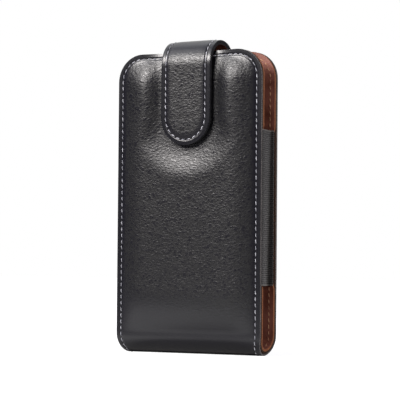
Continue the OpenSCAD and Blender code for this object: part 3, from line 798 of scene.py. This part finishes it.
def stitchTemplate():
    clearSelection()
    bpy.ops.mesh.primitive_uv_sphere_add(segments=stitch["sides"], ring_count=stitch["rings"], radius=1)
    piece = bpy.context.object
    points = readPoints(piece)
    # Length along X, ends bent down into the holes.
    along = points[:, 2].copy()
    points = np.stack([np.sign(along) * np.abs(along) ** stitch["taper"] * stitch["length"] / 2,
                       points[:, 0] * stitch["width"] / 2,
                       points[:, 1] * stitch["height"] / 2 - stitch["sink"] * along ** 2], 1)
    faces = [tuple(f.vertices) for f in piece.data.polygons]
    bpy.data.objects.remove(piece, do_unlink=True)
    return points, faces


stitchPoints, stitchFaces = stitchTemplate()


def along3d(at, steps, points):
    return np.array([np.interp(at, steps, points[:, k]) for k in range(3)])


def stitchRow(name, line, outward, thread):
    # Copies the stitch along a line of points in millimetres, each with its way out of the leather.
    steps = pathSteps(line)
    count = int(steps[-1] / stitch["pitch"])
    slant = math.radians(stitch["slant"])
    points, faces = [], []
    for i in range(count):
        at = (i + 0.5) * steps[-1] / count
        way = along3d(at + stitch["sight"], steps, line) - along3d(at - stitch["sight"], steps, line)
        way /= np.linalg.norm(way)
        out = along3d(at, steps, outward)
        out = out - way * out.dot(way)
        out /= np.linalg.norm(out)
        turned = way * math.cos(slant) + np.cross(out, way) * math.sin(slant)
        side = np.cross(out, turned)
        base = len(points)
        points += list(along3d(at, steps, line) + stitchPoints[:, :1] * turned + stitchPoints[:, 1:2] * side
                       + (stitchPoints[:, 2:] + stitch["raise"]) * out)
        faces += [tuple(base + v for v in f) for f in stitchFaces]
    mesh = bpy.data.meshes.new(name)
    mesh.from_pydata([tuple(p * mm) for p in points], [], faces)
    mesh.update()
    piece = bpy.data.objects.new(name, mesh)
    bpy.context.scene.collection.objects.link(piece)
    piece.data.materials.append(thread)
    smooth(piece, 80)
    return piece


def seamLine(margin):
    # The seam in X and Z from the fold up one side, round the top and down the other side.
    r = pouch["cornerRadius"] - margin
    straight = half - pouch["cornerRadius"]
    heights = np.linspace(foldZ, cornerZ, seam["sideSteps"])
    turn = np.linspace(0, math.pi / 2, seam["cornerSteps"])[1:]
    line = [(margin - float(halfWidth(z)), z) for z in heights]
    line += [(-straight - r * math.cos(a), cornerZ + r * math.sin(a)) for a in turn]
    line += [(x, top - margin) for x in np.linspace(-straight, straight, seam["topSteps"])[1:]]
    line += [(straight + r * math.sin(a), cornerZ + r * math.cos(a)) for a in turn]
    line += [(float(halfWidth(z)) - margin, z) for z in heights[-2::-1]]
    return np.array(line)


def wallStitches(name, depth, wall, facing, thread):
    # One row of stitches on a wall's face, carried on into the fold at both ends.
    flat = seamLine(pouch["seamMargin"])
    x, z = flat[:, 0], flat[:, 1]
    pull = pulled(x, z)
    y = (front + depth + frontPull * pull) if wall == "front" else (rear - depth - rearPull * pull)
    line = np.stack([x, y, z], 1)
    out = np.tile([0.0, facing, 0.0], (len(line), 1))
    turn = np.linspace(0, math.pi / 2 * seam["foldShare"], seam["foldSteps"])[1:]
    r = foldRadius - depth
    flip = -1 if wall == "front" else 1
    # The fold's outer face looks away from its middle, and its inner face towards it.
    away = 1 if (wall == "front") == (facing < 0) else -1
    tailZ = foldZ - r * np.sin(turn)
    tailY = foldY + flip * r * np.cos(turn)
    tailX = halfWidth(tailZ) - pouch["seamMargin"]
    tailOut = np.stack([np.zeros(len(turn)), away * flip * np.cos(turn), -away * np.sin(turn)], 1)
    left = np.stack([-tailX, tailY, tailZ], 1)
    right = np.stack([tailX, tailY, tailZ], 1)
    line = np.concatenate([left[::-1], line, right])
    out = np.concatenate([tailOut[::-1], out, tailOut])
    piece = stitchRow(name, line, out, thread)
    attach(piece, "pouch")


wallStitches("frontStitches", 0, "front", -1, greyThread)
wallStitches("backStitches", 0, "back", 1, greyThread)
wallStitches("frontInnerStitches", innerDepth, "front", 1, tanThread)
wallStitches("backInnerStitches", innerDepth, "back", -1, tanThread)


def strapStitches(name, endName):
    # A loop of stitches round the strap's black face.
    r = tipRadius - strapSeam["margin"]
    ends = strapLength - tipRadius
    turn = np.linspace(0, math.pi, strapSeam["endSteps"])[1:]
    loop = [(-r, s) for s in np.linspace(ends, tipRadius, strapSeam["sideSteps"])]
    loop += [(-r * math.cos(a), tipRadius - r * math.sin(a)) for a in turn]
    loop += [(r, s) for s in np.linspace(tipRadius, ends, strapSeam["sideSteps"])[1:]]
    loop += [(r * math.cos(a), ends + r * math.sin(a)) for a in turn]
    loop = np.array(loop)
    y, z, outY, outZ = strapPlace(loop[:, 1], 0)
    raised = strapCrown(loop[:, 0], loop[:, 1])
    line = np.stack([loop[:, 0], y + outY * raised, z + outZ * raised], 1)
    out = np.stack([np.zeros(len(loop)), outY, outZ], 1)
    bendWithStrap(stitchRow(name, line, out, greyThread), endName, 80)


strapStitches("strapTopStitches", "strapEndStitches")
print("stitches made")


# The belt clip takes the CAD's own shapes and rounds their edges.
clipSettings = {
    "clip_plate": {"name": "clipPlate", "body": "clip", "round": 0.5},
    "clip_lever": {"name": "clipLever", "body": "lever", "round": 0.5},
    "swivel_base": {"name": "swivelBase", "body": "pouch", "round": 0.3},
}


def nodeCopy(node, name, material):
    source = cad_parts[node]
    piece = source.copy()
    piece.data = source.data.copy()
    bpy.context.scene.collection.objects.link(piece)
    piece.name = name
    piece.data.name = name
    piece.parent = None
    piece.matrix_world = source.matrix_world.copy()
    for key in list(piece.keys()):
        del piece[key]
    piece.data.materials.clear()
    piece.data.materials.append(material)
    return piece


def roundedCopy(node, settings):
    piece = nodeCopy(node, settings["name"], blackPlastic)
    editAll(piece)
    bpy.ops.mesh.remove_doubles(threshold=0.005 * mm)
    bpy.ops.mesh.dissolve_limited(angle_limit=math.radians(1.0))
    bpy.ops.object.mode_set(mode="OBJECT")
    roundEdges(piece, settings["round"], 40, segments=3)
    smooth(piece, 35)
    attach(piece, settings["body"])
    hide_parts(node)


for node, settings in clipSettings.items():
    roundedCopy(node, settings)

# The spring's coil winds up along its pin. Its CAD shape is copied as it stands, bound to neither the plate nor
# the lever.
clipSpring = nodeCopy("clip_spring", "clipSpring", springSteel)
smooth(clipSpring, 50)
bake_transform(clipSpring)
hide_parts("clip_spring")
print("clip made")

kept = {
    "core_sheet": coreBoard, "keeper_disc": platedSteel, "strap_magnet": magnetNickel,
    "backing_plate": platedSteel, "swivel_rivet": platedSteel, "disc_spring": springSteel, "clip_pin": platedSteel,
}
for node, material in kept.items():
    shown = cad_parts[node]
    for place in shown.material_slots:
        place.material = material
    if not shown.material_slots:
        shown.data.materials.append(material)
print("kept nodes coloured")


floorLook = {"size": 12.0, "drop": 0.1, "grey": (0.35, 0.35, 0.35, 1)}


def whiteFloor(look):
    # The glow grows away from the object, so the floor meets the backdrop without a line. Reflections
    # see only a glowing patch near the object, a painted reflection that no lamp casts. Distances are in
    # metres from the origin.
    material, add, place = newMaterial("paintedFloorWhite")
    path = add("LightPath", {}).outputs
    away = add("VectorMath", {"operation": "LENGTH", 0: place}).outputs["Value"]
    white = add("MapRange", {**softly, 0: away, 1: 0.12, 2: 0.6, 3: 0.85, 4: 1.1})
    seen = add("Math", {"operation": "MULTIPLY", 0: path["Is Camera Ray"], 1: white})
    # Painted reflection: for glossy rays only, the floor glows in a ring round the object, with no lamp there.
    begins = add("MapRange", {**softly, 0: away, 1: 0.045, 2: 0.07})
    ends = add("MapRange", {**softly, 0: away, 1: 0.12, 2: 0.2, 3: 1.0, 4: 0.0})
    patch = add("Math", {"operation": "MULTIPLY", 0: begins, 1: ends})
    mirrored = add("Math", {"operation": "MULTIPLY", 0: path["Is Glossy Ray"], 1: patch})
    strength = add("Math", {"operation": "MAXIMUM", 0: seen, 1: mirrored})
    matt = add("BsdfDiffuse", {"Color": look["grey"]})
    glow = add("Emission", {"Color": (1, 1, 1, 1), "Strength": strength})
    both = add("AddShader", {0: matt, 1: glow})
    add("OutputMaterial", {"Surface": both})
    clearSelection()
    bpy.ops.mesh.primitive_plane_add(size=look["size"], location=(0, 0, (bottom - look["drop"]) * mm))
    floor = bpy.context.object
    floor.name = "floor"
    floor.data.materials.append(material)


worldLook = {"low": (0.045, 0.04, 0.07, 1), "high": (0.2, 0.2, 0.27, 1)}


def studioWorld(look):
    # White to the camera and in reflections from behind, and otherwise a dark room, lighter above.
    world = bpy.data.worlds.new("studio")
    bpy.context.scene.world = world
    world.use_nodes = True
    world.node_tree.nodes.clear()
    add = partial(addNode, world.node_tree)
    path = add("LightPath", {}).outputs
    way = add("TexCoord", {}).outputs["Generated"]
    parts = add("SeparateXYZ", {0: way}).outputs
    behind = add("MapRange", {**softly, 0: parts[1], 1: -0.1, 2: 0.3})
    bounced = add("Math", {"operation": "MAXIMUM", 0: path["Is Glossy Ray"], 1: path["Is Transmission Ray"]})
    mirrored = add("Math", {"operation": "MULTIPLY", 0: bounced, 1: behind})
    shown = add("Math", {"operation": "MAXIMUM", 0: path["Is Camera Ray"], 1: mirrored})
    height = add("MapRange", {**softly, 0: parts[2], 1: -0.4, 2: 0.9})
    room = add("MixRGB", {0: height, 1: look["low"], 2: look["high"]})
    colour = add("MixRGB", {0: shown, 1: room, 2: (1, 1, 1, 1)})
    background = add("Background", {"Strength": 1.0, "Color": colour})
    add("OutputWorld", {"Surface": background})


# Places and sizes in metres, powers in watts.
lights = {
    "keyLight": {"place": (-0.41, -0.73, 0.53), "aim": (0, -0.03, 0), "size": (0.52, 0.26), "power": 14.6,
                 "colour": (0.99, 0.95, 0.93)},
    "highLight": {"place": (-0.50, -0.45, 0.75), "aim": (0, -0.03, 0.02), "size": (0.5, 0.4), "power": 2.0,
                  "colour": (0.97, 0.98, 1.0)},
    "topLight": {"place": (-0.35, 0.15, 0.95), "aim": (0, -0.02, 0), "size": (0.8, 0.5), "power": 1.2,
                 "colour": (0.9, 0.94, 1.0)},
    "sideLight": {"place": (0.9, -0.25, 0.25), "aim": (0.03, -0.02, -0.03), "size": (0.4, 0.6), "power": 6.0,
                  "colour": (1.0, 0.96, 0.92)},
}


def softLight(name, look):
    data = bpy.data.lights.new(name, "AREA")
    data.shape = "RECTANGLE"
    data.size, data.size_y = look["size"]
    data.energy = look["power"]
    data.color = look["colour"]
    lamp = bpy.data.objects.new(name, data)
    lamp.location = look["place"]
    lamp.rotation_euler = (Vector(look["aim"]) - Vector(look["place"])).to_track_quat("-Z", "Y").to_euler()
    bpy.context.scene.collection.objects.link(lamp)


whiteFloor(floorLook)
studioWorld(worldLook)
for name, look in lights.items():
    softLight(name, look)

# The camera that was fitted to the photo: focal length in pixels, turns in degrees, and its place in
# metres from the pouch's front and bottom.
photoView = {
    "pixels": 400, "focal": 1770.56, "sensor": 36.0, "yaw": 29.813, "pitch": 2.2143, "roll": 0.4685,
    "place": (0.4853, -0.8334, 0.0466),
}
cameraData = bpy.data.cameras.new("photoCamera")
cameraData.sensor_width = photoView["sensor"]
cameraData.lens = photoView["focal"] / photoView["pixels"] * photoView["sensor"]
cameraData.clip_start = 0.01
camera = bpy.data.objects.new("photoCamera", cameraData)
bpy.context.scene.collection.objects.link(camera)
yaw, pitch, roll = [math.radians(photoView[turn]) for turn in ("yaw", "pitch", "roll")]
rows = Matrix.Rotation(roll, 3, "Y") @ Matrix.Rotation(-pitch, 3, "X") @ Matrix.Rotation(-yaw, 3, "Z")
pose = Matrix((rows[0], rows[2], -rows[1])).transposed().to_4x4()
pose.translation = Vector(photoView["place"]) + Vector((0, front, bottom)) * mm
camera.matrix_world = pose
bpy.context.scene.camera = camera
bpy.context.scene.view_settings.view_transform = "Standard"
print("camera set")
